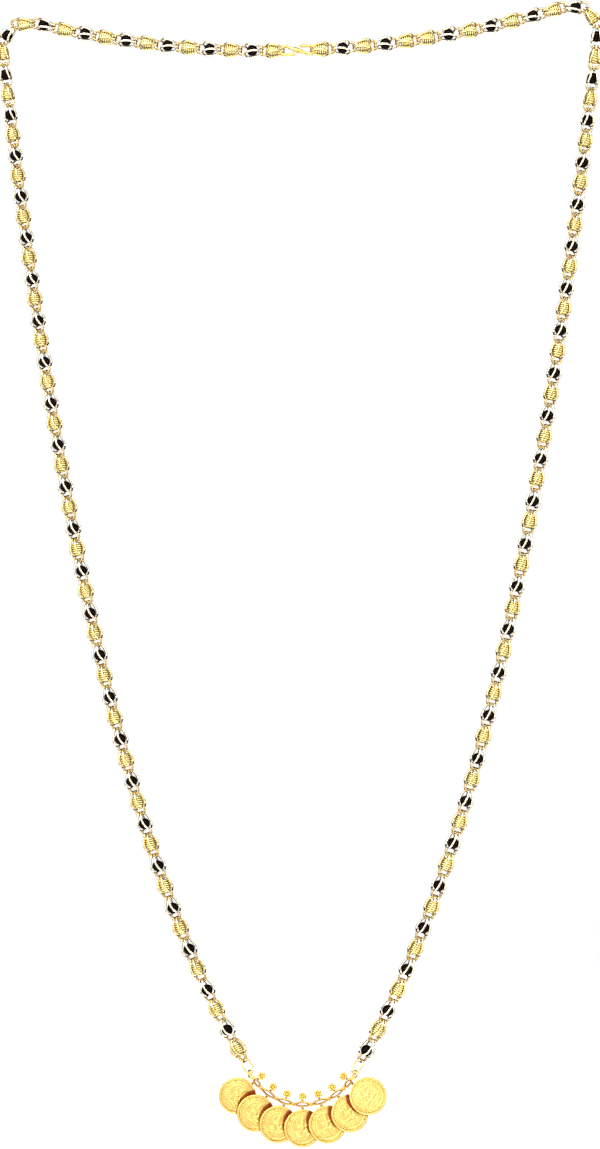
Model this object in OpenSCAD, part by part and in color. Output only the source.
// Mangalsutra: a long loop-in-loop chain of caged black beads and ribbed gold barrels,
// with a pendant of seven shingled coins on a leaf-work arch, shown hanging.
// +X is to the right, -Y is the front, +Z is up, and the origin is the middle of the clasp.

/* [Chain] */
// Links in each half of the chain, from the pendant to the clasp
links_per_side = 63; // [47:2:79]
// Length of chain that one link adds
link_pitch = 5.7; // [5.6:0.1:5.9]
// Wire of a link
wire_d = 0.5; // [0.44:0.02:0.52]
// Black bead caged in a link
bead_d = 3; // [2.8:0.05:3.05]
// Widest part of the ribbed barrel in a gold link
barrel_d = 3.1; // [2.8:0.05:3.1]
// Length of the ribbed barrel
barrel_len = 3.4; // [3:0.1:3.4]
// Ribs on a barrel
barrel_ribs = 7; // [6:1:8]
// The lower of the two gold links that sit side by side on the right, counted from the pendant
twin_gold_link = 57; // [41:2:59]

/* [Hanging shape] */
// Radius at which each side run would turn at its lowest point, which sets how far it bows
side_sag = 42; // [38:1:50]
// Slope of a side run where it meets the pendant's ring
side_slope = 1.64; // [1.56:0.02:1.8]
// Bend of the chain over each of its two points of support
corner_r = 6.5; // [6.2:0.1:9]
// Angle at which the back run leaves each corner
back_angle = 15.5; // [12:0.5:18]

/* [Clasp and rings] */
// Length of the S-shaped hook over its two ends
hook_len = 9.8; // [9:0.2:11]
// Wire of the hook
hook_wire_d = 0.7; // [0.6:0.05:0.75]
// Wire of the two oval jump rings at the pendant
ring_wire_d = 0.5; // [0.44:0.02:0.54]
// Outside length of a jump ring
ring_len = 4.5; // [4.2:0.1:5]
// Outside width of a jump ring
ring_w = 3.1; // [3:0.1:3.4]

/* [Coin pendant] */
// Number of coins
coins = 7; // [7:2:7]
// Diameter of a coin
coin_d = 9.5; // [9:0.1:9.8]
// Thickness of a coin at its rim
coin_t = 0.84; // [0.7:0.02:0.9]
// Turn of each coin about its own hanging line, which lays it over the coin on its left
coin_turn = 12; // [11:0.5:14]
// Angle between neighbouring coins
coin_angle = 17.2; // [16.6:0.2:17.6]
// Radius of the arch of leaves that carries the coins
arch_r = 15.5; // [15:0.1:16]
// Radius on which the coin centres lie
coin_ring_r = 21.3; // [21.1:0.1:21.6]
// Radius on which the flowers sit
flower_ring_r = 13.35; // [13.2:0.05:13.5]
// Diameter of a flower
flower_d = 2.2; // [1.8:0.1:2.3]

/* [Hidden] */
gold = [0.95, 0.72, 0.28];
black = [0.06, 0.04, 0.05];

// A link is one ring of wire. Its two flat lobes lie side by side, end in two eyes, and are
// joined at the other end by a fold of two parallel bends, which the next link's eyes hook over.
// Along a link x runs to the pendant, y is across the fold and z is along the eyes.
wire_r = wire_d / 2;
fold_r = 1.35;        // bend of the fold
fold_half_gap = 0.2;  // half the distance between the fold's two bends
fold_at = 1.8;        // centre of the fold's bend, from the middle of the link
neck_r = 0.3;         // turn from the fold into the lobe
shoulder_r = 1.8;     // lobe round the bead
lobe_half_w = 1.68;   // lobe at its widest
eye_r = 1.08;         // eye at the end of the lobe
eye_half_gap = 0.4;   // half the distance between the two eyes
hook_gap = 0.2;       // room between hooked wires
// The eyes rest this far past the centre of the fold that they hook over
seat = sqrt(pow(fold_r - wire_d - hook_gap, 2) - pow(eye_half_gap, 2));
lobe_tilt = tilt_for(5, 20, 40);
lobe_len = (fold_r * cos(lobe_tilt) - eye_half_gap) / sin(lobe_tilt);
neck_turn = acos(1 - (lobe_half_w - fold_half_gap) / (neck_r + shoulder_r));
shoulder_at = (neck_r + shoulder_r) * sin(neck_turn);
eye_at = lobe_len - eye_r;
flank_len = eye_at - shoulder_at;
flank_r = (pow(flank_len, 2) / (lobe_half_w - eye_r) + eye_r + lobe_half_w) / 2;
flank_turn = atan2(flank_len, flank_r - lobe_half_w);
eye_tip_at = fold_at - fold_r * sin(lobe_tilt) - lobe_len * cos(lobe_tilt);
barrel_at = -0.3;    // middle of a barrel along its link
rib_depth = 0.12;
solder_r = 0.22;
thinning = 0.01;      // every other arc of a link is this much thinner in radius
lap = 0.04;           // and runs this far into its neighbours

// Tilt of a lobe at which one link adds link_pitch to the chain
function reach(a) = fold_r * sin(a) + (fold_r * cos(a) - eye_half_gap) / tan(a) + seat;
function tilt_for(lo, hi, n) = let (m = (lo + hi) / 2)
    n == 0 ? m : reach(m) > link_pitch ? tilt_for(m, hi, n - 1) : tilt_for(lo, m, n - 1);

// Pendant: leaves between junctions on an arch, with an eye at each end
arch_half = coins * coin_angle / 2;
leaf_pitch = 2 * arch_r * sin(coin_angle / 2);
leaf_half_h = 0.8;
leaf_t = 0.8;
boss_r = 0.5;         // round boss where two leaves meet
boss_t = 1;
boss_gap = 1.25;      // from the centre of an end eye to the boss that carries it
slot_len = 2.9;
slot_half_h = 0.25;
end_eye_r = 0.85;
end_eye_wire_r = 0.23;
end_eye_x = arch_r * sin(arch_half);
field_t = 0.46;       // coin inside its rim
rim_w = 0.5;

// Oval ring between the fold of the lowest link and an end eye of the pendant
ring_wire_r = ring_wire_d / 2;
ring_bend_r = ring_w / 2 - ring_wire_r;
ring_side = ring_len - ring_w;
ring_seat = fold_r - wire_r - ring_wire_r - 0.15;

// Clasp: the eyes of the top links sit inside the bends of the hook
hook_wire_r = hook_wire_d / 2;
hook_bend_r = 1.25;
hook_x = hook_len / 2 - hook_bend_r - hook_wire_r;
hook_seat = sqrt(pow(hook_bend_r - hook_wire_r - wire_r - 0.15, 2) - pow(eye_half_gap, 2));
hook_lean = asin(hook_bend_r / hook_x);
hook_tip_len = 2.3;
hook_mid_r = hook_wire_r + 0.1;

// Links are rolled about the chain. At 90 a link's fold lies in the plane of the loop.
side_roll = 59;       // roll of the links down the sides
back_roll = 78;       // roll of the links along the back run, seen from a little below
end_roll = 40;        // roll of the lowest link
hook_roll = back_roll - 90;
roll_step = 5.5;      // change of roll between neighbouring links

// Half of the loop, from the pendant up: a side run, a corner and half of the back run,
// as [distance outward from the middle, height], with s the length along it.
function asinh(x) = ln(x + sqrt(x * x + 1));
function side_from_start(s) = let (p = side_slope + s / side_sag)
    [side_sag * (asinh(p) - asinh(side_slope)),
     side_sag * (sqrt(1 + p * p) - sqrt(1 + side_slope * side_slope))];
function side_pt(s) = [start_x, 0] + side_from_start(s);

// Axes of the lowest link on the right, and where its ring puts the eye of the pendant: the
// lowest point inside the ring, whose wire runs level there
function first_step(t, n) = n == 0 ? t :
    first_step(t + link_pitch - norm(side_from_start(t)), n - 1);
low_dir = -side_from_start(first_step(link_pitch, 8)) / link_pitch;
low_x = [low_dir[0], 0, low_dir[1]];
low_y = [low_dir[1] * sin(end_roll), -cos(end_roll), -low_dir[0] * sin(end_roll)];
low_z = cross(low_x, low_y);
ring_down = -[low_x[2], low_z[2]] / norm([low_x[2], low_z[2]]);
ring_level = low_z * ring_down[0] - low_x * ring_down[1];
eye_from_pivot = low_x * (ring_seat + ring_bend_r + ring_side + ring_bend_r * ring_down[0])
               + low_z * ring_bend_r * ring_down[1] - [0, 0, 0.05];
start_x = end_eye_x - eye_from_pivot[0];
function side_end_turn(len) = atan(side_slope + len / side_sag);
function corner_pt(s, len) = let (a = side_end_turn(len), b = a + s / corner_r * 180 / PI)
    side_pt(len) + corner_r * [sin(b) - sin(a), cos(a) - cos(b)];
function corner_len(len) = corner_r * (180 - side_end_turn(len) + back_angle) * PI / 180;
function back_pt(s, len) = let (
    e = corner_pt(corner_len(len), len),
    sag = e[0] / asinh(tan(back_angle)),
    q = tan(back_angle) - s / sag)
    [sag * asinh(q), e[1] + sag * (sqrt(1 + q * q) - 1 / cos(back_angle))];
function loop_pt(s, len) = let (c = len + corner_len(len))
    s <= len ? side_pt(s) : s <= c ? corner_pt(s - len, len) : back_pt(s - c, len);

// Pivots between links lie on the loop exactly one pitch apart
function step(s, t, len, n) = n == 0 ? t :
    step(s, t + link_pitch - norm(loop_pt(t, len) - loop_pt(s, len)), len, n - 1);
function pivots(len, s, k) = k == 0 ? [s] :
    concat([s], pivots(len, step(s, s + link_pitch, len, 6), k - 1));
function top_x(len) = loop_pt(pivots(len, 0, links_per_side)[links_per_side], len)[0];
// Length of a side run at which the two halves meet at the hook
function side_for(lo, hi, n) = let (m = (lo + hi) / 2)
    n == 0 ? m : top_x(m) < hook_x - seat + hook_seat ? side_for(m, hi, n - 1)
                                                      : side_for(lo, m, n - 1);
chain_len = links_per_side * link_pitch;
side_len = side_for(chain_len * 0.6, chain_len * 0.9, 30);
pivot_s = pivots(side_len, 0, links_per_side);
pivot_pt = [for (s = pivot_s) loop_pt(s, side_len)];
drop = pivot_pt[links_per_side][1];
end_eye_y = eye_from_pivot[1];
end_eye_z = eye_from_pivot[2] - drop;

// First and last link of the corner, whose folds lie in the plane of the loop
corner_lo = len([for (s = pivot_s) if (s < side_len) s]) - 1;
corner_hi = len([for (s = pivot_s) if (s < side_len + corner_len(side_len)) s]);
function roll(k) = k > corner_hi ? max(back_roll, 90 - (k - corner_hi) * roll_step) :
    k >= corner_lo ? 90 :
    max(min(side_roll, end_roll + k * roll_step), 90 - (corner_lo - k) * roll_step);

// Black and gold links take turns, but for two gold ones side by side on the right
function is_black(k, right) = right < 0 ? k % 2 == 1 : k > twin_gold_link ? k % 2 == 1 : k % 2 == 0;

// Frame of link k: columns x, y, z and the place of its middle. right is -1 or 1.
function link_frame(k, right) = let (
    lo = pivot_pt[k], hi = pivot_pt[k + 1],
    along = (lo - hi) / norm(lo - hi),
    inward = [along[1], -along[0]],
    a = roll(k),
    x = [along[0] * right, 0, along[1]],
    y = [inward[0] * sin(a) * right, -cos(a), inward[1] * sin(a)],
    z = cross(x, y),
    p = [lo[0] * right, 0, lo[1] - drop] - fold_at * x)
    [for (i = [0:2]) [x[i], y[i], z[i], p[i]]];

// A bead lies at the low end of its cage
function bead_at(k) = k > corner_hi ? -0.6 + 0.2 * abs(sin(77 * k))
                                    : -0.1 - 0.2 * abs(sin(77 * k));

// Arcs of wire that make half of a lobe, in the plane of the lobe with x away from the fold:
// [centre x, centre y, radius, 1 where the wire is thin, from, to]
half_lobe = [
    [0, fold_half_gap + neck_r, neck_r, 1, -90, neck_turn - 90],
    [shoulder_at, lobe_half_w - shoulder_r, shoulder_r, 0, 90, 90 + neck_turn],
    [shoulder_at, lobe_half_w - flank_r, flank_r, 1, 90 - flank_turn, 90]];

// All the arcs of a link: [centre, turn of its plane, radius, thin, from, to]
cage_arcs = concat(
    [for (i = [-1, 1]) [[fold_at, 0, i * fold_half_gap], [0, 0, 0],
                        fold_r, 0, -90 - lobe_tilt, 90 + lobe_tilt]],
    [for (i = [-1, 1]) [in_lobe(i, eye_at, 0), [90, 0, 180 + i * lobe_tilt],
                        eye_r, 0, flank_turn - 90, 90 - flank_turn]],
    [for (i = [-1, 1], j = [-1, 1], w = half_lobe)
        [in_lobe(i, w[0], j * w[1]), [90, 0, 180 + i * lobe_tilt],
         w[2], w[3], j > 0 ? w[4] : -w[5], j > 0 ? w[5] : -w[4]]]);

// A point of lobe i, at x, y in the lobe's plane
function in_lobe(i, x, y) = [fold_at - fold_r * sin(lobe_tilt) - x * cos(lobe_tilt),
                             i * (fold_r * cos(lobe_tilt) - x * sin(lobe_tilt)), y];

// Whole wire of a link. A thin arc runs on into its two neighbours.
module cage() {
    for (w = cage_arcs) let (e = w[3] * lap / w[2] * 180 / PI)
        translate(w[0]) rotate(w[1]) rotate([0, 0, w[4] - e])
            rotate_extrude(angle = w[5] - w[4] + 2 * e, $fn = 48)
                translate([w[2], 0]) circle(r = wire_r - w[3] * thinning, $fn = 16);
}

// Radius of a barrel at z from its middle. It is fuller toward the eyes, at negative z.
function barrel_r(z) = barrel_d / 2 * (1 - (z < 0 ? 0.28 * pow(-2 * z / barrel_len, 2.2)
                                                  : 0.56 * pow(2 * z / barrel_len, 2.6)));

// Barrel turned as a row of ribs
module barrel() {
    rib = barrel_len / barrel_ribs;
    rotate([0, 90, 0]) rotate_extrude($fn = 32) polygon(concat(
        [[0, -barrel_len / 2]],
        [for (i = [0:barrel_ribs - 1], h = [0, 0.5])
            let (z = -barrel_len / 2 + (i + h) * rib) [barrel_r(z) - (h == 0 ? rib_depth : 0), z]],
        [[barrel_r(barrel_len / 2) - rib_depth, barrel_len / 2], [0, barrel_len / 2]]));
}

// A barrel is soldered to one strand of its cage by a small spot
strand = in_lobe(1, shoulder_at - 0.3, lobe_half_w - 0.02);
strand_out = norm([strand[1], strand[2]]);
spot_out = (barrel_d / 2 + strand_out - wire_r) / 2;
module gold_link() {
    cage();
    translate([barrel_at, 0, 0]) barrel();
    translate([strand[0], strand[1] * spot_out / strand_out, strand[2] * spot_out / strand_out])
        sphere(r = solder_r, $fn = 16);
}

module chain(right, from, to) {
    for (k = [from:to]) multmatrix(link_frame(k, right)) {
        if (is_black(k, right)) cage(); else gold_link();
    }
}

module beads(right) {
    for (k = [0:links_per_side - 1]) if (is_black(k, right))
        multmatrix(link_frame(k, right)) translate([bead_at(k), 0, 0])
            sphere(d = bead_d, $fn = 32);
}

// Oval ring in the plane across the fold of the lowest link
module jump_ring(right) {
    multmatrix(link_frame(0, right)) translate([fold_at + ring_seat + ring_bend_r, 0, 0])
        rotate([90, 0, 0]) for (i = [0, 1]) translate([i * ring_side, 0, 0]) rotate(i * 180) {
            rotate(90) rotate_extrude(angle = 180, $fn = 64)
                translate([ring_bend_r, 0]) circle(r = ring_wire_r, $fn = 20);
            translate([-lap, ring_bend_r, 0]) rotate([0, 90, 0])
                cylinder(r = ring_wire_r - thinning, h = ring_side + 2 * lap, $fn = 20);
        }
}

// S-shaped hook: two bends joined by a stouter slanting bar, each running out to a ball tip
module hook() {
    bar = sqrt(hook_x * hook_x - hook_bend_r * hook_bend_r);
    rotate([90 + hook_roll, 0, 0]) for (i = [0, 1]) rotate(180 * i) {
        translate([-hook_x, 0, 0]) {
            rotate(90 - hook_lean) rotate_extrude(angle = 180 + hook_lean, $fn = 64)
                translate([hook_bend_r, 0]) circle(r = hook_wire_r, $fn = 20);
            translate([-lap, -hook_bend_r, 0]) rotate([0, 90, 0])
                cylinder(r = hook_wire_r - thinning, h = hook_tip_len + lap, $fn = 20);
            translate([hook_tip_len, -hook_bend_r, 0]) sphere(r = hook_wire_r + 0.08, $fn = 24);
        }
        rotate([0, 90, -hook_lean]) translate([0, 0, -bar - lap])
            cylinder(r1 = hook_wire_r - thinning, r2 = hook_mid_r, h = bar + lap, $fn = 20);
    }
}

// Lens of a given length and half height
module lens(length, half_h) {
    r = (length * length / 4 + half_h * half_h) / (2 * half_h);
    intersection_for (i = [-1, 1]) translate([0, i * (r - half_h)]) circle(r = r, $fn = 96);
}

// The pendant's parts are drawn in the x-y plane with the front toward +z, and each unit
// with the centre of the arch up along +y. u is the unit's number from the left.
function unit_turn(u) = (u - (coins - 1) / 2) * coin_angle;
module unit(u) { rotate(unit_turn(u)) children(); }

// Leaf with a slot. The end ones stop short of their eyes.
module leaf(side) {
    cut = side == 0 ? 0 : boss_gap;
    translate([-side * cut / 2, -arch_r * cos(coin_angle / 2), -leaf_t / 2])
        linear_extrude(height = leaf_t) difference() {
            lens(leaf_pitch - cut + 0.5, leaf_half_h);
            lens(slot_len - cut, slot_half_h);
        }
}

// Coin blank turned about its own axis: a thin field inside a thick rim with eased edges
module coin_blank() {
    r = coin_d / 2;
    t = coin_t / 2;
    f = field_t / 2;
    e = 0.1;
    rotate_extrude($fn = 96) polygon([[0, -f], [r - rim_w - e, -f], [r - rim_w, -t], [r - e, -t],
        [r, e - t], [r, t - e], [r - e, t], [r - rim_w, t], [r - rim_w - e, f], [0, f]]);
}

// Low round-topped rise on the field of a coin
module rise(x, y, r, h) {
    b = (r * r + h * h) / (2 * h);
    translate([x, y, field_t / 2]) rotate_extrude($fn = 32) union() {
        intersection() {
            translate([0, h - b]) circle(r = b, $fn = 64);
            square([r, h]);
        }
        translate([0, -0.1]) square([r, 0.1]);
    }
}

// Raised bar on the field from one point to another, with round ends
module limb(a, b, w) {
    d = b - a;
    translate([a[0], a[1], field_t / 2]) rotate(atan2(d[1], d[0]))
        rotate([0, 90, 0]) cylinder(r = w, h = norm(d), $fn = 16);
}

// Seated figure in low relief under an arch, on a base of petals, with a plain round head
module figure() {
    rise(0, 1.55, 0.52, 0.24);
    rise(0, 0.35, 0.8, 0.22);
    rise(-0.95, -0.85, 0.78, 0.2);
    rise(0.95, -0.85, 0.78, 0.2);
    for (i = [-1, 1]) {
        limb([i * 0.62, 0.75], [i * 1.5, 0.1], 0.15);
        limb([i * 1.72, 0.1], [i * 1.85, 1.1], 0.12);
        rise(i * 1.95, 1.6, 0.36, 0.17);
        rise(i * 2.75, -0.9, 0.3, 0.15);
    }
    for (i = [-2:2]) rise(i * 0.78, -2.2 - 0.12 * (2 - abs(i)), 0.36, 0.17);
    translate([0, 0.2, field_t / 2]) rotate(20) rotate_extrude(angle = 140, $fn = 96)
        translate([3.1, 0]) circle(r = 0.11, $fn = 16);
}

// A coin hangs from its leaf by a lug and is turned about its hanging line
module coin() {
    translate([0, -coin_ring_r, 0]) rotate([0, coin_turn, 0]) {
        coin_blank();
        figure();
    }
}

module flower() {
    ball = flower_d * 0.18;
    translate([0, -flower_ring_r, 0]) {
        for (a = [30:60:330]) rotate(a) translate([flower_d / 2 - ball, 0, 0])
            sphere(r = ball, $fn = 24);
        translate([0, 0, 0.12]) sphere(r = flower_d * 0.2, $fn = 24);
    }
}

// Point at radius r and angle a from straight down, in the pendant's plane
function arch_pt(r, a) = [r * sin(a), -r * cos(a), 0];

// End eye, set square to the wire of its ring, on a ball that joins it to the last boss
module end_eye(side) {
    c = arch_pt(arch_r, side * arch_half);
    to_boss = arch_pt(arch_r, side * (arch_half - coin_angle)) - c;
    boss = c + to_boss * boss_gap / norm(to_boss);
    level = [side * ring_level[0], 0, -ring_level[1]];
    across = [-level[2], 0, level[0]];
    reach = [to_boss * across, to_boss[1]] / norm([to_boss * across, to_boss[1]]);
    translate(c) rotate([0, atan2(level[0], level[2]), 0]) rotate_extrude($fn = 48)
        translate([end_eye_r, 0]) circle(r = end_eye_wire_r, $fn = 20);
    translate(c + 1.06 * (across * reach[0] + [0, reach[1], 0])) sphere(r = 0.4, $fn = 24);
    translate(boss) cylinder(r = boss_r, h = boss_t, center = true, $fn = 32);
}

module pendant() {
    translate([0, end_eye_y, end_eye_z + arch_r * cos(arch_half)]) rotate([90, 0, 0]) {
        for (u = [0:coins - 1]) unit(u) {
            leaf(u == 0 ? -1 : u == coins - 1 ? 1 : 0);
            coin();
            translate([0, 0.9 - coin_ring_r + coin_d / 2, 0]) rotate([90, 0, 0])
                cylinder(r = 0.33, h = 1.6, $fn = 20);
            flower();
            translate([0, -flower_ring_r - 0.35, 0]) rotate([90, 0, 0])
                cylinder(r = 0.26, h = arch_r - flower_ring_r - 0.85, $fn = 20);
        }
        for (u = [0:coins - 2]) translate(arch_pt(arch_r, unit_turn(u) + coin_angle / 2))
            cylinder(r = boss_r, h = boss_t, center = true, $fn = 32);
        end_eye(-1);
        end_eye(1);
    }
}

half = floor(links_per_side / 2);
module chain_left_lower() { color(gold) chain(-1, 0, half); }
module chain_left_upper() { color(gold) chain(-1, half + 1, links_per_side - 1); }
module chain_right_lower() { color(gold) chain(1, 0, half); }
module chain_right_upper() { color(gold) chain(1, half + 1, links_per_side - 1); }
module black_beads_left() { color(black) beads(-1); }
module black_beads_right() { color(black) beads(1); }
module hook_clasp() { color(gold) hook(); }
module jump_ring_left() { color(gold) jump_ring(-1); }
module jump_ring_right() { color(gold) jump_ring(1); }
module coin_pendant() { color(gold) pendant(); }

chain_left_lower();
chain_left_upper();
chain_right_lower();
chain_right_upper();
black_beads_left();
black_beads_right();
hook_clasp();
jump_ring_left();
jump_ring_right();
coin_pendant();
